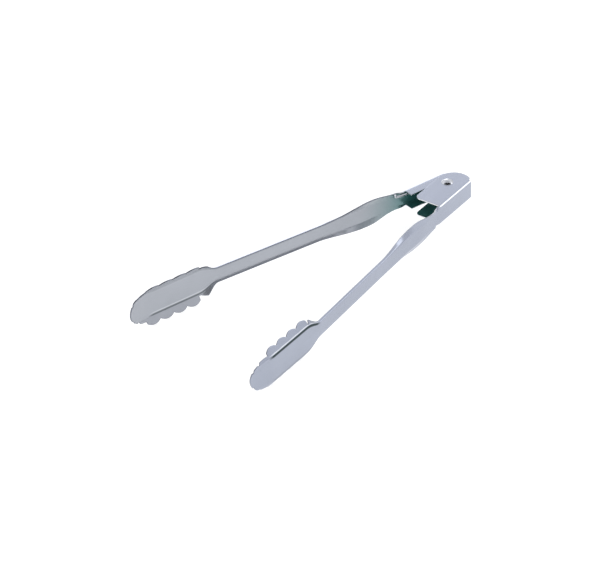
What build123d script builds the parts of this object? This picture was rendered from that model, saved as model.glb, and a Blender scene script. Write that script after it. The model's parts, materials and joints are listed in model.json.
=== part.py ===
from build123d import *
import os
from dataclasses import dataclass
from math import asin, cos, degrees, pi, radians, sin, sqrt, tan

# Spring loaded kitchen tongs: two pressed steel arms on one rivet, pushed apart by a coil spring.
#
# Units are millimetres and degrees. Z is the axis of the rivet, the tips point along -Y, and
# the arms stand either side of X = 0, as they do when the tongs are left open.
# Each arm is drawn in a frame of its own: X runs from the rivet to the tip, Y is outward, away
# from the other arm, and Z is up. The hinge end of an arm is a channel: a web with two ears.

# ---- whole tongs
PIVOT_TO_TIP = 288.0
OPEN_ANGLE = 17.6          # between the two hinge ends
SHEET = 1.0                # thickness of the steel of both arms

# ---- hinge end of the outer arm, which is as high as the spring inside it needs
WEB_OUT = 14.4             # from the rivet's axis to the outer face of the web
WEB_BACK = 11.7            # the web runs this far behind the rivet
EAR_FRONT = 31.2           # the ears run this far in front of the rivet
EAR_PAST_RIVET = 9.5       # the ears run this far inward of the rivet's axis
EAR_CORNER = 4.0
EAR_ROUND_BACK = 16.5      # furthest point of the rounded back of the ears
FOLD_RADIUS = 1.4          # outside of the fold between web and ear

# ---- hinge end of the inner arm, which sits between the ears of the outer one
EAR_GAP = 0.3              # from an outer ear to the inner ear beside it
INNER_WEB_BACK = 7.0
INNER_EAR_DEPTH = 9.0      # from the outer face of the web to the free edge of the ear
INNER_LOBE = 8.0           # radius of the ear round the rivet
STOP_GAP = 0.3             # left between the stop edge and the outer arm's web when open
STOP_FROM = 4.0            # the stop edge starts this far behind the rivet
STOP_TO = 10.0             # and ends this far behind it

# ---- neck, grip and shank of both arms
NECK_AT = 40.0
NECK_HALF = 7.5            # half the height of the arm there
GRIP_AT = 66.0
GRIP_HALF = 11.2
GRIP_STRIP = 5.5           # width of the folded strip along each edge of the grip
GRIP_FOLD = 22.0           # and how far it's folded inward
GRIP_BOW = 1.6             # the grip stands this much further out than the hinge web
BOW_FROM = 76.0            # the arm leans outward from here to the head
SHANK_FROM = 116.0
SHANK_HALF = 6.9
SHANK_FLANGE = 2.2
SHANK_FOLD = 76.0

# ---- head of both arms
HEAD_LENGTH = 83.0
HEAD_BOW = 8.4             # the head stands this much further out than the hinge web
HEAD_OPENING = 18.0        # length over which the shank widens into the head
HEAD_HALF = 17.0
HEAD_FLANGE = 7.2
HEAD_FOLD = 36.0
SCALLOP_COUNT = 4          # full scallops along each edge of the head
SCALLOP_PITCH = 12.3
SCALLOP_DEPTH = 2.0
FIRST_LOBE_DROP = 3.6      # the part scallop where the head opens is this much lower
SCALLOPS_TO_NOSE = 16.0    # from the end of the inner arm's last scallop to the tip
SCALLOP_STAGGER = 3.0      # the outer arm's scallops stand this much further back
NOSE_LENGTH = 17.0         # rounded end in front of the scallops
NOSE_HALF = 13.4
NOSE_TEETH_AT = (34.0, 60.0)  # notches round the rim of the nose, in degrees from the tip
NOSE_NOTCH_RADIUS = 1.1
NOSE_CURL_LENGTH = 26.0    # the end of the head curls inward over this length
NOSE_CURL_RADIUS = 76.0
NOSE_STRIP = 6.0
NOSE_FOLD = 48.0

# ---- rivet and spacer
RIVET_RADIUS = 2.5
RIVET_RUNNING_GAP = 0.08   # radial, in the inner arm's holes
RIVET_HEAD_RADIUS = 4.7
RIVET_HEAD_HEIGHT = 2.2
RIVET_TAIL_RADIUS = 4.2
RIVET_TAIL_HEIGHT = 1.3
SPACER_WALL = 1.6
SPACER_BORE_GAP = 0.08
SPACER_END_GAP = 0.15

# ---- spring
WIRE = 1.8
COIL_RADIUS = 6.6          # to the middle of the wire
COIL_TURNS = 3             # whole turns, besides the part turn between the two legs
COIL_GAP = 0.1             # between one turn and the next
LEG_REACH = 43.0           # from the rivet's axis to the end of a leg, along the web
LEG_HOOK = 2.2             # the end of each leg is turned up or down this much
LEG_HOOK_RADIUS = 1.2
LEG_GAP = 0.3              # between a leg's end and the web it pushes on
LEG_UNDER_EAR = 0.33       # between a leg and the front end of the ear above or below it

# ---- worked out from the sizes above
WEB_IN = WEB_OUT - SHEET
COIL_PITCH = WIRE + COIL_GAP
LEG_LEAN = degrees(asin((WEB_IN - LEG_GAP - WIRE / 2 - COIL_RADIUS) / LEG_REACH))
LEG_TURN = OPEN_ANGLE / 2 + LEG_LEAN        # a leg leaves the coil this far round from X
COIL_RISE = (COIL_TURNS + (180 - 2 * LEG_TURN) / 360) * COIL_PITCH
LEG_SLOPE = COIL_PITCH / (2 * pi * COIL_RADIUS)
INNER_CLEAR = COIL_RISE + 2 * (EAR_FRONT * LEG_SLOPE + WIRE / 2 + LEG_UNDER_EAR)
INNER_HALF = INNER_CLEAR / 2 + SHEET
HINGE_HALF = INNER_HALF + EAR_GAP + SHEET
HINGE_HEIGHT = 2 * HINGE_HALF
HEAD_FROM = PIVOT_TO_TIP - HEAD_LENGTH
NOSE_FROM = PIVOT_TO_TIP - NOSE_LENGTH
CURL_FROM = PIVOT_TO_TIP - NOSE_CURL_LENGTH
FIRST_LOBE_HALF = HEAD_HALF - FIRST_LOBE_DROP
BAND_HALF = FIRST_LOBE_HALF - SCALLOP_DEPTH
THROUGH = 4 * HEAD_HALF    # longer than anything that a cut goes through


@dataclass
class Station:
    """One cut across an arm: a flat web with a strip folded inward along each edge."""

    x: float
    half: float
    strip: float
    fold: float

    def outline(self):
        """The eight corners of the sheet, round the outer side and back along the inner one."""
        turn = radians(self.fold)
        crease = self.half - self.strip * cos(turn)
        outer = [(0, crease), (-self.strip * sin(turn), self.half)]
        inner = [
            (-self.strip * sin(turn) - SHEET * cos(turn), self.half - SHEET * sin(turn)),
            (-SHEET, crease - SHEET * tan(turn / 2)),
        ]
        upper = outer + inner
        lower = [(y, -z) for y, z in reversed(upper)]
        web = web_out(self.x)
        return [Vector(self.x, web + y, z) for y, z in upper + lower]

    def wire(self):
        return Wire.make_polygon(self.outline(), close=True)


def between(start, end, share):
    """A value part of the way from start to end."""
    return start + (end - start) * share


def eased(start, end, share):
    """The same, leaving start and reaching end smoothly."""
    return between(start, end, (1 - cos(pi * share)) / 2)


def share_of(x, start, end):
    """How much of the way from start to end x has gone, from 0 to 1."""
    return min(max((x - start) / (end - start), 0), 1)


def web_out(x):
    """How far the outer face of the web stands from the rivet's axis."""
    grip = GRIP_BOW * eased(0, 1, share_of(x, EAR_FRONT, GRIP_AT))
    lean = (HEAD_BOW - GRIP_BOW) * share_of(x, BOW_FROM, HEAD_FROM)
    curl = max(x - CURL_FROM, 0)
    drop = NOSE_CURL_RADIUS - sqrt(NOSE_CURL_RADIUS**2 - curl**2)
    return WEB_OUT + grip + lean - drop


def arm_stations(hinge_half):
    """The cuts across an arm from its ears to just past its tip."""
    stations = [Station(EAR_FRONT, hinge_half, GRIP_STRIP / 2, 0)]
    for share in (0, 0.5, 1):
        stations.append(Station(
            between(NECK_AT, GRIP_AT, share),
            eased(NECK_HALF, GRIP_HALF, share),
            eased(GRIP_STRIP / 2, GRIP_STRIP, share),
            eased(0, GRIP_FOLD, share),
        ))
    for share in (0.33, 0.67, 1):
        stations.append(Station(
            between(GRIP_AT, SHANK_FROM, share),
            eased(GRIP_HALF, SHANK_HALF, share),
            eased(GRIP_STRIP, SHANK_FLANGE, share),
            eased(GRIP_FOLD, SHANK_FOLD, share),
        ))
    for share in (0.33, 0.67, 1):
        x = between(SHANK_FROM, HEAD_FROM, share)
        stations.append(Station(x, SHANK_HALF, SHANK_FLANGE, SHANK_FOLD))
    for share in (0.5, 1):
        stations.append(Station(
            HEAD_FROM + HEAD_OPENING * share,
            eased(SHANK_HALF, HEAD_HALF, share),
            eased(SHANK_FLANGE, HEAD_FLANGE, share),
            eased(SHANK_FOLD, HEAD_FOLD, share),
        ))
    for x in (between(HEAD_FROM + HEAD_OPENING, CURL_FROM, 0.5), CURL_FROM, NOSE_FROM):
        stations.append(Station(x, HEAD_HALF, HEAD_FLANGE, HEAD_FOLD))
    for share in (0.5, 1):
        stations.append(Station(
            between(NOSE_FROM, PIVOT_TO_TIP + SHEET, share),
            eased(HEAD_HALF, NOSE_HALF, share),
            eased(HEAD_FLANGE, NOSE_STRIP, share),
            eased(HEAD_FOLD, NOSE_FOLD, share),
        ))
    return stations


def scallop_radius():
    """Radius of the round scallops that meet in a notch of the depth asked for."""
    half_pitch = SCALLOP_PITCH / 2
    return (half_pitch**2 + SCALLOP_DEPTH**2) / (2 * SCALLOP_DEPTH)


def nose_notches():
    """Small round notches in the rim of the nose, the same on both sides."""
    notches = []
    for turn in NOSE_TEETH_AT:
        x = NOSE_FROM + NOSE_LENGTH * cos(radians(turn))
        z = NOSE_HALF * sin(radians(turn))
        notches += [Pos(x, side * z) * Circle(NOSE_NOTCH_RADIUS) for side in (-1, 1)]
    return notches


def head_silhouette(scallops_to):
    """The edge of an arm as seen square on: scallops up to the place given, then the nose."""
    neck = Pos(HEAD_FROM / 2, 0) * Rectangle(HEAD_FROM, THROUGH)
    band = Pos((HEAD_FROM + NOSE_FROM) / 2, 0) * Rectangle(NOSE_FROM - HEAD_FROM, 2 * BAND_HALF)
    nose = Pos(NOSE_FROM, 0) * Ellipse(NOSE_LENGTH, NOSE_HALF)
    kept = neck + band + nose
    room = Pos(scallops_to - THROUGH / 2, 0) * Rectangle(THROUGH, THROUGH)
    radius = scallop_radius()
    for side in (-1, 1):
        for number in range(SCALLOP_COUNT + 1):
            x = scallops_to - SCALLOP_PITCH * (number + 0.5)
            reach = HEAD_HALF if number < SCALLOP_COUNT else FIRST_LOBE_HALF
            lobe = Pos(x, side * (reach - radius)) * Circle(radius)
            kept += lobe & room
    return kept - nose_notches()


def long_part(hinge_half, scallops_to):
    """Neck, grip, shank and head, which are one pressing of bent sheet."""
    wires = [station.wire() for station in arm_stations(hinge_half)]
    pressed = Solid.make_loft(wires)
    silhouette = extrude(Plane.XZ * head_silhouette(scallops_to), THROUGH, both=True)
    return pressed & silhouette


def ear_pair(outline, half, hole_radius):
    """Two equal ears at the top and the bottom of a channel, each with the rivet's hole."""
    blank = outline - Circle(hole_radius)
    plate = extrude(blank, SHEET)
    return [Pos(0, 0, half - SHEET) * plate, Pos(0, 0, -half) * plate]


def web_plate(back, half):
    """The web of a channel, from behind the rivet to the front of the ears."""
    size = (EAR_FRONT + back, SHEET, 2 * half)
    centre = ((EAR_FRONT - back) / 2, WEB_OUT - SHEET / 2, 0)
    return Pos(*centre) * Box(*size)


def rounded_folds(channel, half):
    """A channel with the two outer folds of its web rounded."""
    folds = [
        edge for edge in channel.edges().filter_by(Axis.X)
        if edge.center().Y > WEB_OUT - SHEET / 4 and abs(edge.center().Z) > half - SHEET / 4
    ]
    return fillet(folds, min(FOLD_RADIUS, 0.95 * SHEET))


def outer_ear_outline():
    """An outer ear: straight inner edge, rounded corner and a rounded back."""
    inner = -EAR_PAST_RIVET
    front_corner = (EAR_FRONT, inner + EAR_CORNER)
    corner_middle = (
        EAR_FRONT - EAR_CORNER * (1 - cos(radians(45))),
        inner + EAR_CORNER * (1 - cos(radians(45))),
    )
    corner_end = (EAR_FRONT - EAR_CORNER, inner)
    back_start = (-EAR_PAST_RIVET / 2, inner)
    back_middle = (-EAR_ROUND_BACK, (WEB_OUT + inner) / 2)
    web_end = (-WEB_BACK, WEB_OUT)
    edges = [
        Line(web_end, (EAR_FRONT, WEB_OUT)),
        Line((EAR_FRONT, WEB_OUT), front_corner),
        ThreePointArc(front_corner, corner_middle, corner_end),
        Line(corner_end, back_start),
        ThreePointArc(back_start, back_middle, web_end),
    ]
    return make_face(edges)


def stop_point(behind):
    """A point of the inner ear's stop edge, this far behind the rivet along the outer web."""
    turn = radians(OPEN_ANGLE)
    away = WEB_IN - STOP_GAP
    x = -away * sin(turn) - behind * cos(turn)
    y = -away * cos(turn) + behind * sin(turn)
    return (x, y)


def inner_ear_outline():
    """An inner ear: shallow in front, a lobe round the rivet and a stop edge behind it."""
    edge = WEB_OUT - INNER_EAR_DEPTH
    shallow_end = (2 * INNER_LOBE, edge)
    corners = [
        (-INNER_WEB_BACK, WEB_OUT),
        (EAR_FRONT, WEB_OUT),
        (EAR_FRONT, edge),
        shallow_end,
        (INNER_LOBE * cos(radians(35)), -INNER_LOBE * sin(radians(35))),
        stop_point(STOP_FROM),
        stop_point(STOP_TO),
    ]
    return make_face(Polyline(*corners, close=True))


def arm(ear_outline, half, web_back, hole_radius, scallops_to):
    """One arm in its own frame."""
    web = web_plate(web_back, half)
    ears = ear_pair(ear_outline, half, hole_radius)
    channel = rounded_folds(web + ears[0] + ears[1], half)
    return channel + long_part(half, scallops_to)


def outer_arm():
    """The right arm, whose ears lie outside the other's."""
    scallops_to = PIVOT_TO_TIP - SCALLOPS_TO_NOSE - SCALLOP_STAGGER
    drawn = arm(outer_ear_outline(), HINGE_HALF, WEB_BACK, RIVET_RADIUS, scallops_to)
    return Rot(0, 0, OPEN_ANGLE / 2 - 90) * drawn


def inner_arm():
    """The left arm, turned over so that its outward side faces -X."""
    hole_radius = RIVET_RADIUS + RIVET_RUNNING_GAP
    scallops_to = PIVOT_TO_TIP - SCALLOPS_TO_NOSE
    drawn = arm(inner_ear_outline(), INNER_HALF, INNER_WEB_BACK, hole_radius, scallops_to)
    return Rot(0, 0, -OPEN_ANGLE / 2 - 90) * Rot(180, 0, 0) * drawn


def dome(radius, height):
    """A low dome standing on Z = 0."""
    sphere_radius = (radius**2 + height**2) / (2 * height)
    ball = Pos(0, 0, height - sphere_radius) * Sphere(sphere_radius)
    return ball & Pos(0, 0, height) * Cylinder(radius, 2 * height)


def pivot_rivet():
    """Domed head on top, shank through all four ears, and a flatter tail formed underneath."""
    shank = Cylinder(RIVET_RADIUS, HINGE_HEIGHT)
    head = Pos(0, 0, HINGE_HALF) * dome(RIVET_HEAD_RADIUS, RIVET_HEAD_HEIGHT)
    tail = Pos(0, 0, -HINGE_HALF) * Rot(180, 0, 0) * dome(RIVET_TAIL_RADIUS, RIVET_TAIL_HEIGHT)
    return shank + head + tail


def spacer_sleeve():
    """A tube on the rivet that keeps the inner ears apart."""
    bore = RIVET_RADIUS + SPACER_BORE_GAP
    length = INNER_CLEAR - 2 * SPACER_END_GAP
    return Cylinder(bore + SPACER_WALL, length) - Cylinder(bore, length)


def spring_leg(up):
    """The path of a leg: it leaves the coil at the coil's own slope, and its end is turned up."""
    rise = LEG_REACH * LEG_SLOPE
    reach = (0, -LEG_REACH, up * rise)
    hook = (0, -LEG_REACH, up * (rise + LEG_HOOK))
    return FilletPolyline((0, 0, 0), reach, hook, radius=LEG_HOOK_RADIUS)


def torsion_spring():
    """Round wire: a coil round the spacer and a leg along each arm, hooked at its end."""
    coil = Rot(0, 0, LEG_TURN) * Pos(0, 0, -COIL_RISE / 2) * Helix(COIL_PITCH, COIL_RISE, COIL_RADIUS)
    right = Rot(0, 0, LEG_TURN) * Pos(COIL_RADIUS, 0, -COIL_RISE / 2) * spring_leg(-1)
    left = Rot(0, 0, -LEG_TURN) * Pos(-COIL_RADIUS, 0, COIL_RISE / 2) * spring_leg(1)
    path = Wire([*right.edges(), *coil.edges(), *left.edges()])
    start = Plane(path @ 0, z_dir=path % 0)
    return sweep(start * Circle(WIRE / 2), path=path, transition=Transition.TRANSFORMED)


def all_parts():
    """Every sub-part, with its node name."""
    return {
        "outer_arm": outer_arm(),
        "inner_arm": inner_arm(),
        "pivot_rivet": pivot_rivet(),
        "spacer_sleeve": spacer_sleeve(),
        "torsion_spring": torsion_spring(),
    }


def resting_place(parts):
    """The move that puts the middle of the underside of all the parts at the origin."""
    box = Compound(list(parts.values())).bounding_box()
    return Pos(-box.center().X, -box.center().Y, -box.min.Z)


parts = all_parts()
place = resting_place(parts)
os.makedirs("parts", exist_ok=True)
for name, shape in parts.items():
    export_step(place * shape, f"parts/{name}.step")
print("rivet axis and middle height:", place.position)
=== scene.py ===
import json
from math import acos, asin, atan2, ceil, cos, hypot, pi, radians, sin, sqrt, tan

import bpy
from bpy.props import FloatProperty, FloatVectorProperty, IntProperty, PointerProperty
from mathutils import Matrix, Vector


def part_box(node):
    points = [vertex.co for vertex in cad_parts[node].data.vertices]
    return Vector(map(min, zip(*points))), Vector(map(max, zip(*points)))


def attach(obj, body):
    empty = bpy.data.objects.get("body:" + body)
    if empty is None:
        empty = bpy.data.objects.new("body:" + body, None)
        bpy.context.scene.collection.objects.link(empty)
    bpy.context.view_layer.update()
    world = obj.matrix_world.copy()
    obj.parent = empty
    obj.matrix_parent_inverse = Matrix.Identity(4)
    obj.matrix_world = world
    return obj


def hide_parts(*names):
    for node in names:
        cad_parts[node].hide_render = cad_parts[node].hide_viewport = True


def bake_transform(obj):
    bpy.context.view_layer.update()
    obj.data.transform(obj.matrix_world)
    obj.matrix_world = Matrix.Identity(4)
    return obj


bl_info = {
    "name": "Spring loaded kitchen tongs",
    "version": (1, 0, 0),
    "blender": (4, 5, 0),
    "location": "View3D > Sidebar > Tongs",
    "description": "Two pressed steel arms on a rivet, with their spring, on a plain floor",
    "category": "Object",
}

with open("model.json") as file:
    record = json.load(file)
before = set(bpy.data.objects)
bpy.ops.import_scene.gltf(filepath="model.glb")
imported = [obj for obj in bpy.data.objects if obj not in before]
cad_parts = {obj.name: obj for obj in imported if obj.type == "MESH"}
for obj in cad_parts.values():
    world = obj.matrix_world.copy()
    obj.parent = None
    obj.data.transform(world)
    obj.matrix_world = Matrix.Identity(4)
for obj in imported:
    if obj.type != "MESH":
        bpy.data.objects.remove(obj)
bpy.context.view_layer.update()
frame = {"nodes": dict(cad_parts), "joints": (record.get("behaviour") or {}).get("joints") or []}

MM = 0.001
HINGE = frame["joints"][0]
PIVOT = Vector(HINGE["pos_m"])
RIVET_LOW, RIVET_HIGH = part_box("pivot_rivet")

# ---- sizes of the pressed arms, in millimetres and degrees, as on the drawing.
# An arm has a frame of its own: X from the rivet to the tip, Y outward, Z up.
PIVOT_TO_TIP = 288.0
OPEN_ANGLE = 17.6
HINGE_HALF = 8.2           # half the height over the outer arm's ears
INNER_HALF = 6.9           # the same for the inner arm
WEB_OUT = 14.4             # from the rivet's axis to the outer face of the web
WEB_BACK = 11.7
INNER_WEB_BACK = 7.0
EAR_FRONT = 31.2
EAR_PAST_RIVET = 9.5
EAR_CORNER = 4.0
EAR_ROUND_BACK = 16.45
INNER_EAR_DEPTH = 9.0
INNER_LOBE = 8.0
STOP_GAP = 0.3
STOP_FROM = 4.0
STOP_TO = 10.0
NECK_AT = 40.0
NECK_HALF = 7.5
NECK_STRIP = 2.75
GRIP_AT = 66.0
GRIP_HALF = 11.2
GRIP_STRIP = 5.5
GRIP_FOLD = 22.0
GRIP_BOW = 1.6
BOW_FROM = 76.0
SHANK_FROM = 116.0
SHANK_HALF = 6.9
SHANK_FLANGE = 2.2
SHANK_FOLD = 76.0
HEAD_FROM = 205.0
HEAD_BOW = 8.4
HEAD_OPENING = 18.0
HEAD_HALF = 17.0
HEAD_FLANGE = 7.2
HEAD_FOLD = 36.0
FIRST_LOBE_HALF = 13.4
BAND_HALF = 11.4
SCALLOP_COUNT = 4
SCALLOP_PITCH = 12.3
SCALLOP_DEPTH = 2.0
SCALLOPS_TO_NOSE = 16.0
SCALLOP_STAGGER = 3.0
NOSE_LENGTH = 17.0
NOSE_FROM = PIVOT_TO_TIP - NOSE_LENGTH
NOSE_HALF = 13.4
NOSE_TEETH_AT = (34.0, 60.0)
NOSE_NOTCH_RADIUS = 1.1
NOSE_NOTCH_REACH = 1.7
CURL_FROM = PIVOT_TO_TIP - 26.0
CURL_RADIUS = 76.0
NOSE_STRIP = 6.0
NOSE_FOLD = 48.0
SHEET = 1.0
FOLD_RADIUS = 2.0          # of the folds at the hinge
NECK_FOLD_RADIUS = 2.0
GRIP_FOLD_RADIUS = 4.0
SHANK_FOLD_RADIUS = 1.3
HEAD_FOLD_RADIUS = 3.0
NOSE_FOLD_RADIUS = 2.0
INNER_LOBE_TURN = 35.0     # direction of the lobe's corner, seen from the rivet

# ---- rivet
SHANK_RADIUS = 2.5
RUNNING_GAP = 0.08
HEAD_RADIUS = 4.7
TAIL_RADIUS = 4.2
COLLAR = 0.2               # height of the collar under the dome
LIP = 0.15                 # radius of the collar's upper edge
DRILL_LENGTH = 50.0

# ---- spring
COIL_PITCH = 1.9
LEG_REACH = 43.0
LEG_HOOK = 2.2
LEG_HOOK_RADIUS = 1.2
LEG_GAP = 0.3

# ---- painted light along the folds, a painted dark reflection and painted highlights: places in millimetres from the rivet, and columns of the sheet
LINE_FROM = 204.0          # a painted dark reflection runs along the fold of the head
LINE_FULL = 210.0
LINE_FADE = 264.0
LINE_END = 271.0
LINE_SPAN = range(0, 4)    # columns of the painted dark reflection, counted from the crease
LINE_OUTSIDE = range(5, 6)  # the painted highlight beside it, on the flange
LINE_INSIDE = range(-1, 0)  # and on the web
HINGE_SPAN = range(2, 4)   # columns of the painted highlight on the hinge's folds
WEAK_SIDE = 0.35           # strength of the painted dark reflection and its painted highlights on the other fold
INSIDE_LINE = 0.6          # strength of the painted highlight on the web

# ---- how finely everything is drawn
LEAST_FLANGE = 0.1         # share of the flange that the deepest notch leaves
STEP_RUN = 0.15            # length over which the edge steps at the end of the scallops
WEB_COLUMNS = 8
FOLD_COLUMNS = 5
FLANGE_COLUMNS = 6
SIDE_COLUMNS = WEB_COLUMNS + FOLD_COLUMNS + FLANGE_COLUMNS
ROW_STEP = 2.0
SCALLOP_ROWS = 16
NOSE_ROWS = 72
NECK_STEP = 0.8
HEAD_STEP = 1.0
RIM_STEP = 0.6
NOSE_MIDDLE = 0.8          # share of the nose's length at which the fan's middle ends
MOST_CREASE = 0.80         # furthest out that the crease lies on a row of the nose
MOST_FOLD = 0.91           # the same for the end of the fold
EAR_BACK_STEPS = 22
EAR_SIDE_STEPS = 16
EAR_CORNER_STEPS = 8
EAR_FRONT_STEPS = 10
EAR_STEP = 1.6             # length of a step along the inner ear's edge
EAR_PACE = 0.3             # least advance of the web per length of the ear's edge
EAR_EDGE_CLEAR = 0.2       # gap left between the fold and the round of the ear
HOLE_SIDES = 64
DOME_STEPS = 14
LIP_STEPS = 4
TAIL_STEPS = 12
HOOK_STEPS = 8
LEG_STEPS = 24
COIL_STEPS = 64            # for each whole turn
PART_TURN_STEPS = 24

# ---- finish and painted light: distances in metres from the rivet's middle, and colours, among them painted highlights and painted shade
INSIDE_SHADE = (0.036, 0.085)  # the painted shade inside the hinge fades between these
INSIDE_METAL = (0.028, 0.042)
EDGE_HIGHLIGHT_FADE = (0.034, 0.05)      # cut edges go from a painted highlight to painted shade between these
# colours of the painted highlight and the painted dark reflection along the folds
PAINTED_HIGHLIGHT = (0.93, 0.96, 1.0, 1.0)
PAINTED_DARK_REFLECTION = (0.012, 0.03, 0.03, 1.0)
PAINTED_EDGE_HIGHLIGHT = (0.95, 0.97, 1.0, 1.0)

# ---- stage
BOARD_TOWARD = (0.701, -0.713, 0.0)  # from the tongs to the dark board
ROOM_LIGHT = 1.13
BOARD_DARK = 1.1
WORLD_LEVELS = ((0.0, 0.80), (0.30, 0.82), (0.50, 0.98), (0.66, 0.98), (0.80, 0.80), (1.0, 0.60))
CAMERA_AZIMUTH = 44.546
CAMERA_ELEVATION = 34.524
CAMERA_ROLL = -1.581
CAMERA_DISTANCE = 2.85               # metres
CAMERA_LENS = 229.0
CAMERA_AIM = (0.198, -165.095, 0.0)  # millimetres from the rivet
FLOOR_RADIUS = 4.0                   # metres


# ------------------------------------------------------------------ materials
class Value:
    """A shader socket: adding, multiplying or raising it to a power adds Math nodes."""

    def __init__(self, paint, socket):
        self.paint = paint
        self.socket = socket

    def __add__(self, other):
        return self.paint.math("ADD", self, other)

    def __radd__(self, other):
        return self.paint.math("ADD", other, self)

    def __rsub__(self, other):
        return self.paint.math("SUBTRACT", other, self)

    def __mul__(self, other):
        return self.paint.math("MULTIPLY", self, other)

    def __rmul__(self, other):
        return self.paint.math("MULTIPLY", other, self)

    def __pow__(self, other):
        return self.paint.math("POWER", self, other)


class Paint:
    """The nodes of one material or world."""

    def __init__(self, owner):
        owner.use_nodes = True
        self.tree = owner.node_tree
        self.tree.nodes.clear()

    def node(self, kind, settings=None, sockets=None):
        """One node: its settings first, then the values or links of its sockets."""
        made = self.tree.nodes.new(kind)
        for name, value in (settings or {}).items():
            if name == "stops":
                self.set_stops(made.color_ramp, value)
            else:
                setattr(made, name, value)
        for name, value in (sockets or {}).items():
            if isinstance(value, Value):
                self.tree.links.new(value.socket, made.inputs[name])
            else:
                made.inputs[name].default_value = value
        return made

    def set_stops(self, ramp, stops):
        """Gives a colour ramp its places and colours."""
        while len(ramp.elements) < len(stops):
            ramp.elements.new(1.0)
        for element, (place, colour) in zip(ramp.elements, stops):
            element.position = place
            element.color = colour

    def out(self, made, name=0):
        """One output of a node, as a value."""
        return Value(self, made.outputs[name])

    def math(self, operation, *values):
        sockets = dict(enumerate(values))
        return self.out(self.node("ShaderNodeMath", {"operation": operation}, sockets))

    def mix(self, factor, first, second):
        """A colour between two colours."""
        settings = {"data_type": "RGBA"}
        made = self.node("ShaderNodeMix", settings, {0: factor, 6: first, 7: second})
        return self.out(made, 2)

    def spread(self, value, low, high, to_low=0.0, to_high=1.0):
        """A value carried from one range to another, and kept inside it."""
        sockets = {0: value, 1: low, 2: high, 3: to_low, 4: to_high}
        return self.out(self.node("ShaderNodeMapRange", {"clamp": True}, sockets))

    def place(self, turn=0.0, scale=(1, 1, 1)):
        """Object coordinates, turned about Z and stretched."""
        where = self.out(self.node("ShaderNodeTexCoord"), "Object")
        if turn:
            sockets = {"Vector": where, "Rotation": (0, 0, turn)}
            where = self.out(self.node("ShaderNodeMapping", {"vector_type": "TEXTURE"}, sockets))
        return self.out(self.node("ShaderNodeMapping", {}, {"Vector": where, "Scale": scale}))

    def mark(self, name):
        """A value carried by the sheet's own points, with a soft limit."""
        value = self.out(self.node("ShaderNodeAttribute", {"attribute_name": name}), "Fac")
        return self.spread(value, 0.15, 0.85)

    def reach(self, centre):
        """How far a point of the surface is from a centre, in metres."""
        where = self.out(self.node("ShaderNodeTexCoord"), "Object")
        sockets = {0: where, 1: tuple(centre)}
        away = self.node("ShaderNodeVectorMath", {"operation": "DISTANCE"}, sockets)
        return self.out(away, 1)

    def noise(self, where, scale, detail=2.0, roughness=0.5):
        sockets = {"Vector": where, "Scale": scale, "Detail": detail, "Roughness": roughness}
        return self.out(self.node("ShaderNodeTexNoise", {}, sockets), "Fac")

    def finish(self, colour, metallic, roughness, height=None, relief=0.0, **fixed):
        """The Principled shader and the output. Relief is the depth of the bumps, in metres."""
        sockets = {"Base Color": colour, "Metallic": metallic, "Roughness": roughness}
        sockets.update({name.replace("_", " "): value for name, value in fixed.items()})
        if height is not None:
            bumps = {"Strength": 1.0, "Distance": relief, "Height": height}
            sockets["Normal"] = self.out(self.node("ShaderNodeBump", {}, bumps))
        shader = self.node("ShaderNodeBsdfPrincipled", {}, sockets)
        self.node("ShaderNodeOutputMaterial", {}, {"Surface": self.out(shader)})


def new_material(name):
    material = bpy.data.materials.new(name)
    return material, Paint(material)


def polished_steel(name, turn, sizes, inside=False):
    """Pressed stainless sheet, grained along the arm, with a painted dark reflection in the head's
    folds and painted highlights beside it and along the hinge's folds.

    The inside is a lighter, less blue copy of the steel, painted light; near the hinge it turns
    dark teal, painted shade."""
    material, paint = new_material(name)
    along = paint.place(turn, (6.0, 160.0, 160.0))
    grain = paint.noise(along, 22.0, 3.0, 0.6)
    cloud = paint.noise(paint.place(), 28.0, 2.0)
    smear = paint.noise(paint.place(turn, (3.0, 24.0, 24.0)), 6.0, 2.0)
    steel = sizes.inner_painted_tone if inside else sizes.steel_colour
    base = tuple(steel) + (1.0,)
    darker = tuple(0.86 * part for part in steel) + (1.0,)
    tone = paint.spread(cloud, 0.35, 0.65) * 0.35 + paint.spread(grain, 0.3, 0.7) * 0.3
    colour = paint.mix(tone, base, darker)
    metal = 1.0
    # painted shade: near the hinge the inside darkens to a dark teal
    if inside:
        away = paint.reach(PIVOT)
        shade = paint.spread(away + 0.012 * cloud, *INSIDE_SHADE, 1.0, 0.0) ** 1.6
        colour = paint.mix(shade, colour, tuple(sizes.inside_shade_colour) + (1.0,))
        metal = paint.spread(away, *INSIDE_METAL, 0.25, 0.45)
    # painted highlight along the folds, stronger outside than inside
    highlight = paint.mark("bright_inside" if inside else "bright_outside")
    colour = paint.mix(highlight * (0.6 if inside else 0.9), colour, PAINTED_HIGHLIGHT)
    # painted dark reflection along the head's fold
    dark = paint.mark("fold_line_dark") * (0.6 if inside else 0.95)
    colour = paint.mix(dark, colour, PAINTED_DARK_REFLECTION)
    rough = sizes.steel_roughness + 0.07 * paint.spread(smear, 0.3, 0.7)
    rough = rough + 0.05 * paint.spread(grain, 0.3, 0.7)
    paint.finish(colour, metal, rough, grain, 1.0e-6)
    return material


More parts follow.
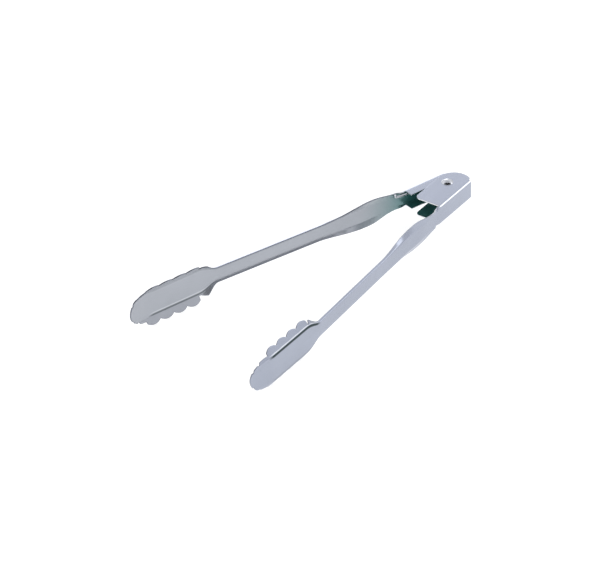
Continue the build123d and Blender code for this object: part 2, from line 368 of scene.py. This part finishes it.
def cut_edge(name, sizes):
    """The cut edge of the sheet: a painted highlight near the hinge, fading to painted shade
    further out, with random worn marks.
    """
    material, paint = new_material(name)
    marks = paint.noise(paint.place(0.0, (1.0, 1.0, 0.15)), 900.0, 2.0)
    # painted highlight near the hinge fading to painted shade further out; the noise darkens the
    # edge at random like wear
    edge_shade_and_wear = tuple(0.5 * part for part in sizes.steel_colour) + (1.0,)
    away = paint.spread(paint.reach(PIVOT), *EDGE_HIGHLIGHT_FADE)
    colour = paint.mix(away, PAINTED_EDGE_HIGHLIGHT, edge_shade_and_wear)
    colour = paint.mix(paint.spread(marks, 0.35, 0.7) * 0.3, colour, edge_shade_and_wear)
    rough = 0.3 + 0.14 * paint.spread(marks, 0.3, 0.7)
    paint.finish(colour, 1.0, rough, marks, 2e-6)
    return material


def turned_metal(name, colour, rough, pitch):
    """Bright metal with a fine grain and a broader, fainter cloud."""
    material, paint = new_material(name)
    fine = paint.noise(paint.place(), pitch, 3.0)
    broad = paint.noise(paint.place(), 160.0, 2.0)
    base = tuple(colour) + (1.0,)
    darker = tuple(0.8 * c for c in colour) + (1.0,)
    tone = paint.mix(paint.spread(broad, 0.35, 0.7) * 0.7, base, darker)
    paint.finish(tone, 1.0, rough + 0.1 * paint.spread(fine, 0.3, 0.7), fine, 1.5e-6)
    return material


# ------------------------------------------------------------------ modelling helpers
def pick(obj):
    """Selects one object alone and makes it the active one."""
    bpy.ops.object.select_all(action="DESELECT")
    obj.select_set(True)
    bpy.context.view_layer.objects.active = obj


def start_edit(obj):
    """Edit mode on one object, with nothing selected."""
    pick(obj)
    bpy.ops.object.mode_set(mode="EDIT")
    bpy.ops.mesh.select_all(action="DESELECT")


def end_edit():
    bpy.ops.object.mode_set(mode="OBJECT")


def apply_modifier(obj, kind, **settings):
    """Adds a modifier with its settings and applies it."""
    pick(obj)
    made = obj.modifiers.new(kind.lower(), kind)
    for name, value in settings.items():
        setattr(made, name, value)
    bpy.ops.object.modifier_apply(modifier=made.name)


def settle(obj, smooth_angle=35.0):
    """Puts the object's place in its mesh and shades it smooth up to an angle."""
    obj.data.transform(obj.matrix_world)
    obj.matrix_world = Matrix.Identity(4)
    pick(obj)
    bpy.ops.object.shade_smooth_by_angle(angle=radians(smooth_angle))


def added(name):
    """The object that the last operator added, renamed."""
    made = bpy.context.view_layer.objects.active
    made.name = name
    made.data.name = name
    return made


# ------------------------------------------------------------------ the shape of an arm
def between(start, end, share):
    return start + (end - start) * share


def eased(start, end, share):
    return between(start, end, (1 - cos(pi * share)) / 2)


def share_of(x, start, end):
    return min(max((x - start) / (end - start), 0.0), 1.0)


def web_out(x):
    """How far the outer face of the web stands from the rivet's axis."""
    grip = GRIP_BOW * eased(0, 1, share_of(x, EAR_FRONT, GRIP_AT))
    lean = (HEAD_BOW - GRIP_BOW) * share_of(x, BOW_FROM, HEAD_FROM)
    curl = max(x - CURL_FROM, 0.0)
    return WEB_OUT + grip + lean - (CURL_RADIUS - sqrt(CURL_RADIUS**2 - curl**2))


def section(x, hinge_half):
    """Half height, strip, fold and fold radius of the pressing at one place along the arm."""
    shank = (SHANK_HALF, SHANK_FLANGE, SHANK_FOLD, SHANK_FOLD_RADIUS)
    head = (HEAD_HALF, HEAD_FLANGE, HEAD_FOLD, HEAD_FOLD_RADIUS)
    run = [
        (EAR_FRONT, hinge_half, FOLD_RADIUS, 90.0, FOLD_RADIUS),
        (NECK_AT, NECK_HALF, NECK_STRIP, 0.0, NECK_FOLD_RADIUS),
        (GRIP_AT, GRIP_HALF, GRIP_STRIP, GRIP_FOLD, GRIP_FOLD_RADIUS),
        (SHANK_FROM, *shank),
        (HEAD_FROM, *shank),
        (HEAD_FROM + HEAD_OPENING, *head),
        (NOSE_FROM, *head),
        (PIVOT_TO_TIP + 1.0, NOSE_HALF, NOSE_STRIP, NOSE_FOLD, NOSE_FOLD_RADIUS),
    ]
    for first, second in zip(run, run[1:]):
        if x <= second[0]:
            share = share_of(x, first[0], second[0])
            pairs = zip(first[1:], second[1:])
            half, strip, fold, radius = (eased(a, b, share) for a, b in pairs)
            turn = radians(fold)
            flat = max(strip - radius * tan(turn / 2), 0.0)
            crease = half - radius * sin(turn) - flat * cos(turn)
            return half, crease, turn, radius, flat
    raise ValueError(f"no section at {x}")


def sheet_drop(z, crease, turn, radius):
    """How far the sheet has come in from the web's outer face at a height z."""
    past = z - crease
    if past <= 0:
        return 0.0
    if past <= radius * sin(turn):
        return radius - sqrt(radius**2 - past**2)
    flat = (past - radius * sin(turn)) / cos(turn)
    return radius * (1 - cos(turn)) + flat * sin(turn)


def scallop_edge(x, scallops_to):
    """Half height of the scalloped edge at x."""
    scallops_from = scallops_to - SCALLOP_COUNT * SCALLOP_PITCH
    radius = ((SCALLOP_PITCH / 2) ** 2 + SCALLOP_DEPTH**2) / (2 * SCALLOP_DEPTH)
    if x < scallops_from - 0.01:
        off = min(scallops_from - SCALLOP_PITCH / 2 - x, SCALLOP_PITCH / 2)
        return max(FIRST_LOBE_HALF - radius + sqrt(radius**2 - off**2), BAND_HALF)
    number = min(int((scallops_to - x) / SCALLOP_PITCH), SCALLOP_COUNT - 1)
    off = x - (scallops_to - SCALLOP_PITCH * (number + 0.5))
    return HEAD_HALF - radius + sqrt(radius**2 - off**2)


def arc_through(first, middle, last, count):
    """Points of the arc through three points, both ends included."""
    (ax, ay), (bx, by), (cx, cy) = first, middle, last
    a2, b2, c2 = ax**2 + ay**2, bx**2 + by**2, cx**2 + cy**2
    twice = 2 * (ax * (by - cy) + bx * (cy - ay) + cx * (ay - by))
    ux = (a2 * (by - cy) + b2 * (cy - ay) + c2 * (ay - by)) / twice
    uy = (a2 * (cx - bx) + b2 * (ax - cx) + c2 * (bx - ax)) / twice
    radius = hypot(ax - ux, ay - uy)
    start, passed, end = (atan2(y - uy, x - ux) for x, y in (first, middle, last))
    sweep = (end - start) % (2 * pi)
    if (passed - start) % (2 * pi) > sweep:
        sweep -= 2 * pi
    turns = [start + sweep * number / count for number in range(count + 1)]
    return [(ux + radius * cos(turn), uy + radius * sin(turn)) for turn in turns]


def straight(first, last, count):
    """Points of a straight run, without its first."""
    shares = [number / count for number in range(1, count + 1)]
    return [(between(first[0], last[0], s), between(first[1], last[1], s)) for s in shares]


def outer_ear():
    """The free edge of an outer ear, from the back of the fold round to its front."""
    fold_line = WEB_OUT - FOLD_RADIUS
    inner = -EAR_PAST_RIVET
    back = (-EAR_PAST_RIVET / 2, inner)
    bulge = (-EAR_ROUND_BACK, (WEB_OUT + inner) / 2)
    front = (EAR_FRONT - EAR_CORNER, inner)
    ease = EAR_CORNER * (1 - cos(radians(45)))
    corner = (EAR_FRONT - ease, inner + ease)
    side = (EAR_FRONT, inner + EAR_CORNER)
    round_back = arc_through((-WEB_BACK, WEB_OUT), bulge, back, EAR_BACK_STEPS)
    edge = [(-WEB_BACK, fold_line)]
    edge += [p for p in round_back if p[1] < fold_line - EAR_EDGE_CLEAR]
    edge += straight(back, front, EAR_SIDE_STEPS)
    edge += arc_through(front, corner, side, EAR_CORNER_STEPS)[1:]
    return edge + straight(side, (EAR_FRONT, fold_line), EAR_FRONT_STEPS)


def stop_point(behind):
    """A point of the inner ear's stop edge, this far behind the rivet."""
    turn = radians(OPEN_ANGLE)
    away = WEB_OUT - SHEET - STOP_GAP
    x = -away * sin(turn) - behind * cos(turn)
    return (x, -away * cos(turn) + behind * sin(turn))


def inner_ear():
    """The free edge of an inner ear: stop edge behind, lobe by the rivet, shallow in front."""
    fold_line = WEB_OUT - FOLD_RADIUS
    edge_line = WEB_OUT - INNER_EAR_DEPTH
    turn = radians(INNER_LOBE_TURN)
    lobe = (INNER_LOBE * cos(turn), -INNER_LOBE * sin(turn))
    corners = [
        (-INNER_WEB_BACK, fold_line),
        stop_point(STOP_TO),
        stop_point(STOP_FROM),
        lobe,
        (2 * INNER_LOBE, edge_line),
        (EAR_FRONT, edge_line),
        (EAR_FRONT, fold_line),
    ]
    edge = [corners[0]]
    for first, last in zip(corners, corners[1:]):
        length = hypot(last[0] - first[0], last[1] - first[1])
        edge += straight(first, last, max(3, round(length / EAR_STEP)))
    return edge


def ear_rows(edge, web_back, half):
    """Rows over the hinge end: over the web, round the fold, and out to the ear's edge."""
    steps = []
    for first, last in zip(edge, edge[1:]):
        along = max(last[0], -web_back) - max(first[0], -web_back)
        length = hypot(last[0] - first[0], last[1] - first[1])
        steps.append(max(abs(along), EAR_PACE * length))
    total = sum(steps)
    rows = []
    crease = half - FOLD_RADIUS
    fold_line = WEB_OUT - FOLD_RADIUS
    gone = 0.0
    for number, (ex, ey) in enumerate(edge):
        if number:
            gone += steps[number - 1]
        x = between(-web_back, EAR_FRONT, gone / total)
        row = [(x, WEB_OUT, crease * k / WEB_COLUMNS) for k in range(WEB_COLUMNS + 1)]
        for k in range(1, FOLD_COLUMNS + 1):
            turn = pi / 2 * k / FOLD_COLUMNS
            y, z = fold_line + FOLD_RADIUS * cos(turn), crease + FOLD_RADIUS * sin(turn)
            row.append((x, y, z))
        for k in range(1, FLANGE_COLUMNS + 1):
            share = k / FLANGE_COLUMNS
            row.append((between(x, ex, share), between(fold_line, ey, share), half))
        rows.append(row)
    return rows


def pressed_row(x, hinge_half, edge=None):
    """One row straight across the pressing, cut off at the edge's height if one is given."""
    half, crease, turn, radius, flat = section(x, hinge_half)
    out = web_out(x)
    row = [(x, out, crease * k / WEB_COLUMNS) for k in range(WEB_COLUMNS + 1)]
    for k in range(1, FOLD_COLUMNS + 1):
        part = turn * k / FOLD_COLUMNS
        row.append((x, out - radius * (1 - cos(part)), crease + radius * sin(part)))
    _, y, z = row[-1]
    kept = 1.0 if edge is None else min(max((edge - z) / (half - z), LEAST_FLANGE), 1.0)
    for k in range(1, FLANGE_COLUMNS + 1):
        length = flat * kept * k / FLANGE_COLUMNS
        row.append((x, y - length * sin(turn), z + length * cos(turn)))
    return row


def notch_depth(x, z):
    """How far the rim of the nose is pressed in at a point of it, next to the small notches."""
    depth = 0.0
    for tooth in NOSE_TEETH_AT:
        off_x = x - NOSE_FROM - NOSE_LENGTH * cos(radians(tooth))
        off = hypot(off_x, z - NOSE_HALF * sin(radians(tooth)))
        if off < NOSE_NOTCH_REACH:
            depth = max(depth, NOSE_NOTCH_RADIUS * cos(pi / 2 * off / NOSE_NOTCH_REACH) ** 2)
    return depth


def nose_row(turn, first_turn, start, hinge_half):
    """One row of the nose: it fans from the middle of the web to the rounded rim."""
    x, z = NOSE_FROM + NOSE_LENGTH * cos(turn), NOSE_HALF * sin(turn)
    share = (cos(turn) - cos(first_turn)) / (1 - cos(first_turn))
    middle = between(start, NOSE_FROM + NOSE_MIDDLE * NOSE_LENGTH, share)
    kept = 1 - notch_depth(x, z) / hypot(x - middle, z)
    x, z = between(middle, x, kept), z * kept
    half, crease, fold, radius, flat = section(x, hinge_half)
    fold_end = crease + radius * sin(fold)
    tall = max(z, 0.01)
    crease_at = min(crease / tall, MOST_CREASE)
    fold_at = min(fold_end / tall, MOST_FOLD)
    places = [crease_at * k / WEB_COLUMNS for k in range(WEB_COLUMNS + 1)]
    for first, last, count in ((crease_at, fold_at, FOLD_COLUMNS), (fold_at, 1.0, FLANGE_COLUMNS)):
        places += [between(first, last, k / count) for k in range(1, count + 1)]
    row = []
    for place in places:
        px, pz = between(middle, x, place), z * place
        _, crease, fold, radius, _ = section(px, hinge_half)
        row.append((px, web_out(px) - sheet_drop(pz, crease, fold, radius), pz))
    return row


def spaced(start, end, step):
    """Places from start to end, without the start, at about the step."""
    count = max(1, ceil((end - start) / step - 1e-6))
    return [between(start, end, number / count) for number in range(1, count + 1)]


def arm_rows(edge, web_back, half, scallops_to):
    """Every row of an arm, from its ears to the tip of its nose."""
    rows = ear_rows(edge, web_back, half)
    scallops_from = scallops_to - SCALLOP_COUNT * SCALLOP_PITCH
    for x in spaced(EAR_FRONT, NECK_AT, NECK_STEP) + spaced(NECK_AT, HEAD_FROM, ROW_STEP):
        rows.append(pressed_row(x, half))
    head = spaced(HEAD_FROM, scallops_from - STEP_RUN, HEAD_STEP)
    for number in range(SCALLOP_COUNT * SCALLOP_ROWS + 1):
        head.append(scallops_from + number * SCALLOP_PITCH / SCALLOP_ROWS)
    for x in head:
        edge_half = min(section(x, half)[0], scallop_edge(x, scallops_to))
        rows.append(pressed_row(x, half, edge_half))
    start = scallops_to + STEP_RUN
    if start < NOSE_FROM:
        for x in [start] + spaced(start, NOSE_FROM - STEP_RUN, RIM_STEP):
            rim = NOSE_HALF * sqrt(1 - ((NOSE_FROM - x) / NOSE_LENGTH) ** 2)
            rows.append(pressed_row(x, half, rim))
        start = NOSE_FROM
    first_turn = acos((start - NOSE_FROM) / NOSE_LENGTH)
    for number in range(NOSE_ROWS + 1):
        turn = first_turn * (1 - number / NOSE_ROWS)
        rows.append(nose_row(turn, first_turn, start, half))
    return rows


def arm_place(side):
    """The move from an arm's own frame to the tongs: side 1 is the outer arm, -1 the inner."""
    turned = Matrix.Rotation(radians(side * OPEN_ANGLE / 2 - 90), 4, "Z")
    if side < 0:
        turned = turned @ Matrix.Rotation(pi, 4, "X")
    return Matrix.Translation(PIVOT) @ turned @ Matrix.Scale(MM, 4)


def painted_light_at(along, column):
    """How strong the painted dark reflection, the painted highlight outside and the one inside are
    at a point.
    """
    line = share_of(along, LINE_FROM, LINE_FULL) * share_of(along, LINE_END, LINE_FADE)
    line *= 1.0 if column > 0 else WEAK_SIDE
    hinge = share_of(along, EAR_FRONT + 1.0, EAR_FRONT - 1.0)
    column = abs(column) - WEB_COLUMNS
    dark = line if column in LINE_SPAN else 0.0
    outside = max(line * (column in LINE_OUTSIDE), hinge * (column in HINGE_SPAN))
    inside = INSIDE_LINE * line if column in LINE_INSIDE else 0.0
    return dark, outside, inside


def press_sheet(name, rows, place):
    """A flat blank, cut into rows and columns and pressed into the shape that the rows give."""
    bpy.ops.mesh.primitive_grid_add(
        x_subdivisions=len(rows) - 1, y_subdivisions=2 * SIDE_COLUMNS, size=1.0
    )
    sheet = added(name)
    blank = []
    for corner in sheet.data.vertices:
        row = round((corner.co.x + 0.5) * (len(rows) - 1))
        column = round((corner.co.y + 0.5) * 2 * SIDE_COLUMNS) - SIDE_COLUMNS
        blank.append((row, column))
        x, y, z = rows[row][abs(column)]
        corner.co = place @ Vector((x, y, z if column > 0 else -z))
    # strength of the painted dark reflection and the painted highlights at each point of the sheet
    marks = [painted_light_at(rows[row][0][0], column) for row, column in blank]
    for number, mark in enumerate(("fold_line_dark", "bright_outside", "bright_inside")):
        values = sheet.data.attributes.new(mark, "FLOAT", "POINT").data
        for value, mark_values in zip(values, marks):
            value.value = mark_values[number]
    start_edit(sheet)
    bpy.ops.mesh.select_all(action="SELECT")
    bpy.ops.mesh.remove_doubles(threshold=2e-6)
    bpy.ops.mesh.dissolve_degenerate(threshold=2e-6)
    bpy.ops.mesh.normals_make_consistent(inside=False)
    end_edit()
    outward = (place.to_3x3() @ Vector((0, 1, 0))).normalized()
    if sum(face.normal.dot(outward) * face.area for face in sheet.data.polygons) < 0:
        start_edit(sheet)
        bpy.ops.mesh.select_all(action="SELECT")
        bpy.ops.mesh.flip_normals()
        end_edit()
    return sheet


def drill(sheet, radius):
    """The rivet's hole through both ears."""
    bpy.ops.mesh.primitive_cylinder_add(
        vertices=HOLE_SIDES, radius=radius * MM, depth=DRILL_LENGTH * MM, location=PIVOT
    )
    bit = added("drill_bit")
    apply_modifier(sheet, "BOOLEAN", operation="DIFFERENCE", object=bit, solver="EXACT")
    bpy.data.objects.remove(bit)


def make_arm(name, rows, side, hole, sizes):
    """One arm: pressed, given its thickness, rounded at its cut edges, and drilled."""
    arm = press_sheet(name, rows, arm_place(side))
    angle = radians(side * OPEN_ANGLE / 2 - 90)
    arm.data.materials.append(polished_steel(name + "_steel", angle, sizes))
    arm.data.materials.append(cut_edge(name + "_cut_edge", sizes))
    arm.data.materials.append(polished_steel(name + "_inside", angle, sizes, inside=True))
    apply_modifier(
        arm, "SOLIDIFY", thickness=sizes.sheet, offset=-1.0, use_even_offset=True,
        use_quality_normals=True, material_offset=2, material_offset_rim=1,
    )
    apply_modifier(
        arm, "BEVEL", width=sizes.edge_round, segments=3, limit_method="ANGLE",
        angle_limit=radians(50), use_clamp_overlap=False, profile=0.6,
    )
    drill(arm, hole)
    settle(arm, 40.0)
    apply_modifier(arm, "WEIGHTED_NORMAL", keep_sharp=True, weight=60)
    return arm


# ------------------------------------------------------------------ rivet and spring
def turned(name, profile, steps=96):
    """A profile of radius and height, in metres, drawn point by point and spun round."""
    bpy.ops.mesh.primitive_plane_add(size=0.001, location=(0, 0, 0))
    piece = added(name)
    start_edit(piece)
    bpy.ops.mesh.select_all(action="SELECT")
    bpy.ops.mesh.merge(type="CENTER")
    bpy.ops.transform.translate(value=PIVOT + Vector((profile[0][0], 0, profile[0][1])))
    for first, last in zip(profile, profile[1:]):
        step = (last[0] - first[0], 0, last[1] - first[1])
        bpy.ops.mesh.extrude_region_move(TRANSFORM_OT_translate={"value": step})
    bpy.ops.mesh.select_all(action="SELECT")
    bpy.ops.mesh.spin(steps=steps, angle=2 * pi, center=PIVOT, axis=(0, 0, 1))
    bpy.ops.mesh.select_all(action="SELECT")
    bpy.ops.mesh.remove_doubles(threshold=1e-6)
    bpy.ops.mesh.normals_make_consistent(inside=False)
    end_edit()
    return piece


def dome_profile(radius, height, count):
    """Points of a low dome, from its top to its rim."""
    ball = (radius**2 + height**2) / (2 * height)
    reach = asin(min(radius / ball, 1.0))
    turns = [reach * number / count for number in range(count + 1)]
    return [(ball * sin(turn), height - ball * (1 - cos(turn))) for turn in turns]


def make_rivet(sizes):
    """Collar and dome on top, shank through the ears, and the tail formed underneath."""
    half = HINGE_HALF * MM
    collar, lip = COLLAR * MM, LIP * MM
    head = HEAD_RADIUS * MM
    rise = RIVET_HIGH.z - PIVOT.z - half - collar
    dome = dome_profile(sizes.rivet_dome, rise, DOME_STEPS)
    profile = [(r, half + collar + z) for r, z in dome]
    for number in range(LIP_STEPS + 1):
        turn = pi / 2 * number / LIP_STEPS
        profile.append((head - lip + lip * sin(turn), half + collar - lip + lip * cos(turn)))
    profile += [(head, half), (SHANK_RADIUS * MM, half), (SHANK_RADIUS * MM, -half)]
    tail = PIVOT.z - half - RIVET_LOW.z
    tail_profile = dome_profile(TAIL_RADIUS * MM, tail, TAIL_STEPS)
    profile += [(r, -half - z) for r, z in reversed(tail_profile)]
    rivet = turned("rivet", profile)
    settle(rivet, 40.0)
    return rivet


def spring_points(sizes):
    """The middle line of the wire: a leg along the outer arm, the coil, and the other leg."""
    wire, coil = sizes.wire / MM, sizes.coil_radius / MM
    lean = asin((WEB_OUT - SHEET - LEG_GAP - wire / 2 - coil) / LEG_REACH)
    leg_turn = radians(OPEN_ANGLE / 2) + lean
    full = 2 * pi * sizes.coil_turns + pi - 2 * leg_turn
    rise = full / (2 * pi) * COIL_PITCH
    slope = COIL_PITCH / (2 * pi * coil)

    def leg(side):
        """Points of a leg, from its hooked end to the coil."""
        start = Vector((side * coil * cos(leg_turn), coil * sin(leg_turn), -side * rise / 2))
        along = Vector((side * sin(leg_turn), -cos(leg_turn), -side * slope))
        reach = start + along * LEG_REACH
        hook = Vector((0, 0, -side))
        points = [reach + hook * LEG_HOOK]
        for number in range(HOOK_STEPS + 1):
            turn = pi / 2 * number / HOOK_STEPS
            bend = LEG_HOOK_RADIUS * (1 - sin(turn))
            down = LEG_HOOK_RADIUS * (1 - cos(turn))
            points.append(reach - along * down + hook * bend)
        first = points[-1]
        points += [first.lerp(start, number / LEG_STEPS) for number in range(1, LEG_STEPS)]
        return points

    steps = COIL_STEPS * sizes.coil_turns + PART_TURN_STEPS
    turns = [leg_turn + full * number / steps for number in range(steps + 1)]
    winding = [
        Vector((coil * cos(turn), coil * sin(turn), rise * (number / steps - 0.5)))
        for number, turn in enumerate(turns)
    ]
    return [PIVOT + point * MM for point in leg(1) + winding + list(reversed(leg(-1)))]


def make_spring(sizes):
    """Round wire along the spring's middle line, with its two ends cut off and eased."""
    points = spring_points(sizes)
    line = bpy.data.curves.new("spring", "CURVE")
    line.dimensions = "3D"
    run = line.splines.new("POLY")
    run.points.add(len(points) - 1)
    for place, point in zip(run.points, points):
        place.co = (*point, 1.0)
    line.bevel_depth = sizes.wire / 2
    line.bevel_resolution = 7
    line.use_fill_caps = True
    spring = bpy.data.objects.new("spring", line)
    bpy.context.scene.collection.objects.link(spring)
    pick(spring)
    bpy.ops.object.convert(target="MESH")
    apply_modifier(
        spring, "BEVEL", width=0.2 * MM, segments=3, limit_method="ANGLE",
        angle_limit=radians(60), use_clamp_overlap=False,
    )
    settle(spring, 50.0)
    return spring


# ------------------------------------------------------------------ stage
def floor_material(sizes):
    """A plain pale floor that is bright of itself, so that shadows on it stay faint."""
    material, paint = new_material("studio_floor")
    cloud = paint.noise(paint.place(), 3.0, 2.0)
    pale = tuple(0.5 * c for c in sizes.floor_colour) + (1.0,)
    shade = tuple(0.49 * c for c in sizes.floor_colour) + (1.0,)
    colour = paint.mix(cloud, pale, shade)
    paint.finish(
        colour, 0.0, 0.9, Specular_IOR_Level=0.0, Emission_Color=pale, Emission_Strength=1.6
    )
    return material


def studio_world(scene):
    """Light all round: bright walls, a dimmer ceiling, and a dark board high over the front."""
    world = bpy.data.worlds.new("studio_light")
    scene.world = world
    paint = Paint(world)
    direction = paint.out(paint.node("ShaderNodeTexCoord"), "Generated")
    height = paint.out(paint.node("ShaderNodeSeparateXYZ", {}, {"Vector": direction}), "Z")
    stops = [(place, (level, level, level * 1.03, 1.0)) for place, level in WORLD_LEVELS]
    ramp = paint.node("ShaderNodeValToRGB", {"stops": stops}, {0: height})
    sockets = {0: direction, 1: BOARD_TOWARD}
    toward = paint.node("ShaderNodeVectorMath", {"operation": "DOT_PRODUCT"}, sockets)
    board = paint.spread(paint.out(toward, 1), 0.0, 0.08)
    board = board * paint.spread(height, 0.60, 0.66) * paint.spread(height, 0.995, 0.98)
    light = ROOM_LIGHT - BOARD_DARK * board
    back = paint.node("ShaderNodeBackground", {}, {"Color": paint.out(ramp), "Strength": light})
    paint.node("ShaderNodeOutputWorld", {}, {"Surface": paint.out(back)})
    scene.view_settings.view_transform = "Standard"


def soft_box(name, where, size, power):
    """A square soft light that looks at the middle of the tongs."""
    bpy.ops.object.light_add(type="AREA", location=where)
    lamp = bpy.context.view_layer.objects.active
    lamp.name = name
    lamp.data.shape = "SQUARE"
    lamp.data.size = size
    lamp.data.energy = power
    lamp.rotation_euler = (-lamp.location).to_track_quat("-Z", "Y").to_euler()


def studio_camera(scene):
    """A long lens from above, in front of the right arm."""
    azimuth, elevation = radians(CAMERA_AZIMUTH), radians(CAMERA_ELEVATION)
    roll = radians(CAMERA_ROLL)
    target = PIVOT + Vector(CAMERA_AIM) * MM
    level = cos(elevation)
    back = Vector((sin(azimuth) * level, -cos(azimuth) * level, sin(elevation)))
    right = Vector((cos(azimuth), sin(azimuth), 0.0))
    up = back.cross(right)
    rolled_right = right * cos(roll) + up * sin(roll)
    rolled_up = up * cos(roll) - right * sin(roll)
    turn = Matrix((rolled_right, rolled_up, back)).transposed().to_4x4()
    bpy.ops.object.camera_add()
    camera = bpy.context.view_layer.objects.active
    camera.name = "studio_camera"
    camera.matrix_world = Matrix.Translation(target + back * CAMERA_DISTANCE) @ turn
    camera.data.lens = CAMERA_LENS
    camera.data.sensor_width = 36.0
    camera.data.clip_end = 100.0
    scene.camera = camera


# ------------------------------------------------------------------ what a user may change
class TongsSizes(bpy.types.PropertyGroup):
    """Sizes and colours of the tongs."""

    sheet: FloatProperty(
        name="Sheet", description="Thickness of the steel of both arms",
        default=SHEET * MM, unit="LENGTH",
    )
    edge_round: FloatProperty(
        name="Edge rounding", description="Radius of every cut edge",
        default=0.28 * MM, unit="LENGTH",
    )
    rivet_dome: FloatProperty(
        name="Rivet dome", description="Radius of the raised middle of the rivet's head",
        default=4.45 * MM, unit="LENGTH",
    )
    wire: FloatProperty(
        name="Spring wire", description="Diameter of the spring's wire",
        default=1.8 * MM, unit="LENGTH",
    )
    coil_radius: FloatProperty(
        name="Coil radius", description="From the rivet's axis to the middle of the wire",
        default=6.6 * MM, unit="LENGTH",
    )
    coil_turns: IntProperty(
        name="Coil turns", description="Whole turns of the coil, besides the part turn",
        default=3,
    )
    steel_colour: FloatVectorProperty(
        name="Steel colour", description="Colour of the outside of the arms",
        default=(0.402, 0.434, 0.515), subtype="COLOR", size=3, min=0.0, max=1.0,
    )
    steel_roughness: FloatProperty(
        name="Steel roughness", description="Lower is nearer to a mirror",
        default=0.16, min=0.0, max=1.0, subtype="FACTOR",
    )
    # a lighter, less blue copy of the steel colour, painted light for the faces that look at the
    # other arm
    inner_painted_tone: FloatVectorProperty(
        name="Inner colour", description="Colour of the faces that look at the other arm",
        default=(0.437, 0.461, 0.503), subtype="COLOR", size=3, min=0.0, max=1.0,
    )
    # painted shade inside the hinge: a dark teal that stands in for the shade there
    inside_shade_colour: FloatVectorProperty(
        name="Inside colour", description="Colour of the arms inside the hinge",
        default=(0.07, 0.24, 0.23), subtype="COLOR", size=3, min=0.0, max=1.0,
    )
    rivet_colour: FloatVectorProperty(
        name="Rivet colour", description="Colour of the rivet, the spring and the sleeve",
        default=(0.62, 0.64, 0.68), subtype="COLOR", size=3, min=0.0, max=1.0,
    )
    floor_colour: FloatVectorProperty(
        name="Floor colour", description="Colour of the studio floor",
        default=(1.0, 1.0, 1.0), subtype="COLOR", size=3, min=0.0, max=1.0,
    )


class TONGS_OT_stage(bpy.types.Operator):
    """Adds the pale floor, the soft studio light and the camera."""

    bl_idname = "tongs.stage"
    bl_label = "Studio stage"

    def execute(self, context):
        sizes = context.scene.tongs
        bpy.ops.mesh.primitive_circle_add(
            vertices=96, radius=FLOOR_RADIUS, fill_type="NGON", location=(0, 0, 0)
        )
        floor = added("studio_floor")
        floor.data.materials.append(floor_material(sizes))
        studio_world(context.scene)
        soft_box("soft_box_left", (-2.2, 2.0, 0.75), 1.1, 6.0)
        soft_box("soft_box_right", (1.25, 2.05, 1.33), 0.8, 2.0)
        studio_camera(context.scene)
        return {"FINISHED"}


class TONGS_OT_arms(bpy.types.Operator):
    """Presses the outer arm on the right and the inner arm on the left."""

    bl_idname = "tongs.arms"
    bl_label = "Arms"

    def execute(self, context):
        sizes = context.scene.tongs
        scallops_to = PIVOT_TO_TIP - SCALLOPS_TO_NOSE
        rows = arm_rows(outer_ear(), WEB_BACK, HINGE_HALF, scallops_to - SCALLOP_STAGGER)
        right = make_arm("arm_right", rows, 1, SHANK_RADIUS, sizes)
        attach(right, "outer")
        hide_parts("outer_arm")
        rows = arm_rows(inner_ear(), INNER_WEB_BACK, INNER_HALF, scallops_to)
        left = make_arm("arm_left", rows, -1, SHANK_RADIUS + RUNNING_GAP, sizes)
        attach(left, "inner")
        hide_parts("inner_arm")
        return {"FINISHED"}


class TONGS_OT_rivet(bpy.types.Operator):
    """Turns the rivet that the two arms swing on."""

    bl_idname = "tongs.rivet"
    bl_label = "Rivet"

    def execute(self, context):
        sizes = context.scene.tongs
        rivet = make_rivet(sizes)
        metal = turned_metal("rivet_steel", sizes.rivet_colour, 0.1, 1500.0)
        rivet.data.materials.append(metal)
        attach(rivet, "outer")
        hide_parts("pivot_rivet")
        return {"FINISHED"}


class TONGS_OT_spring(bpy.types.Operator):
    """Winds the spring with its two legs, and finishes the sleeve inside it."""

    bl_idname = "tongs.spring"
    bl_label = "Spring and sleeve"

    def execute(self, context):
        sizes = context.scene.tongs
        spring = make_spring(sizes)
        wire = turned_metal("spring_wire", sizes.rivet_colour, 0.14, 1200.0)
        spring.data.materials.append(wire)
        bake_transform(spring)
        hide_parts("torsion_spring")
        sleeve = frame["nodes"]["spacer_sleeve"]
        drawn = [0.8 * part for part in sizes.rivet_colour]
        sleeve.data.materials.clear()
        sleeve.data.materials.append(turned_metal("sleeve_steel", drawn, 0.28, 900.0))
        return {"FINISHED"}


class TONGS_PT_panel(bpy.types.Panel):
    """Lists what makes the tongs, and the sizes that may be changed."""

    bl_idname = "TONGS_PT_panel"
    bl_label = "Kitchen tongs"
    bl_space_type = "VIEW_3D"
    bl_region_type = "UI"
    bl_category = "Tongs"

    def draw(self, context):
        for maker in MAKERS:
            self.layout.operator(maker.bl_idname)
        for name in TongsSizes.__annotations__:
            self.layout.prop(context.scene.tongs, name)


MAKERS = (TONGS_OT_stage, TONGS_OT_arms, TONGS_OT_rivet, TONGS_OT_spring)


def register():
    for made in (TongsSizes, *MAKERS, TONGS_PT_panel):
        bpy.utils.register_class(made)
    bpy.types.Scene.tongs = PointerProperty(type=TongsSizes)


def unregister():
    del bpy.types.Scene.tongs
    for made in reversed((TongsSizes, *MAKERS, TONGS_PT_panel)):
        bpy.utils.unregister_class(made)


def main():
    register()
    bpy.ops.tongs.stage()
    bpy.ops.tongs.arms()
    bpy.ops.tongs.rivet()
    bpy.ops.tongs.spring()


if __name__ == "__main__":
    main()
